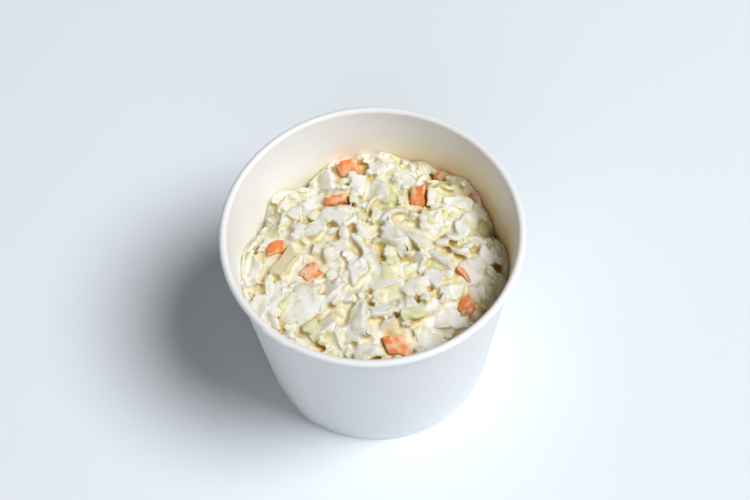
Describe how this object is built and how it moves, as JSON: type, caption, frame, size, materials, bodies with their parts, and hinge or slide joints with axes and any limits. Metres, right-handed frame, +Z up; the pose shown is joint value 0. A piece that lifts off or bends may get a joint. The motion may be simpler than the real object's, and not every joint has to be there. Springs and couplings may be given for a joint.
{
  "type": "cup of coleslaw",
  "caption": "Chopped, dressed cabbage and carrot salad heaped in an open round tapered paper cup with a rolled rim.",
  "frame": {"origin": "centre of the cup's foot, on the surface that it stands on", "axes": "+Z up along the cup's axis, towards its open mouth; the shown view looks along +Y, with +X to its right"},
  "size_m": [0.096, 0.096, 0.072],
  "materials": {
    "coated_paper": "satin",
    "dressed_cabbage": "satin"
  },
  "bodies": {
    "root": {"cup_wall": "coated_paper", "cup_base": "coated_paper", "coleslaw": "dressed_cabbage"}
  },
  "joints": []
}
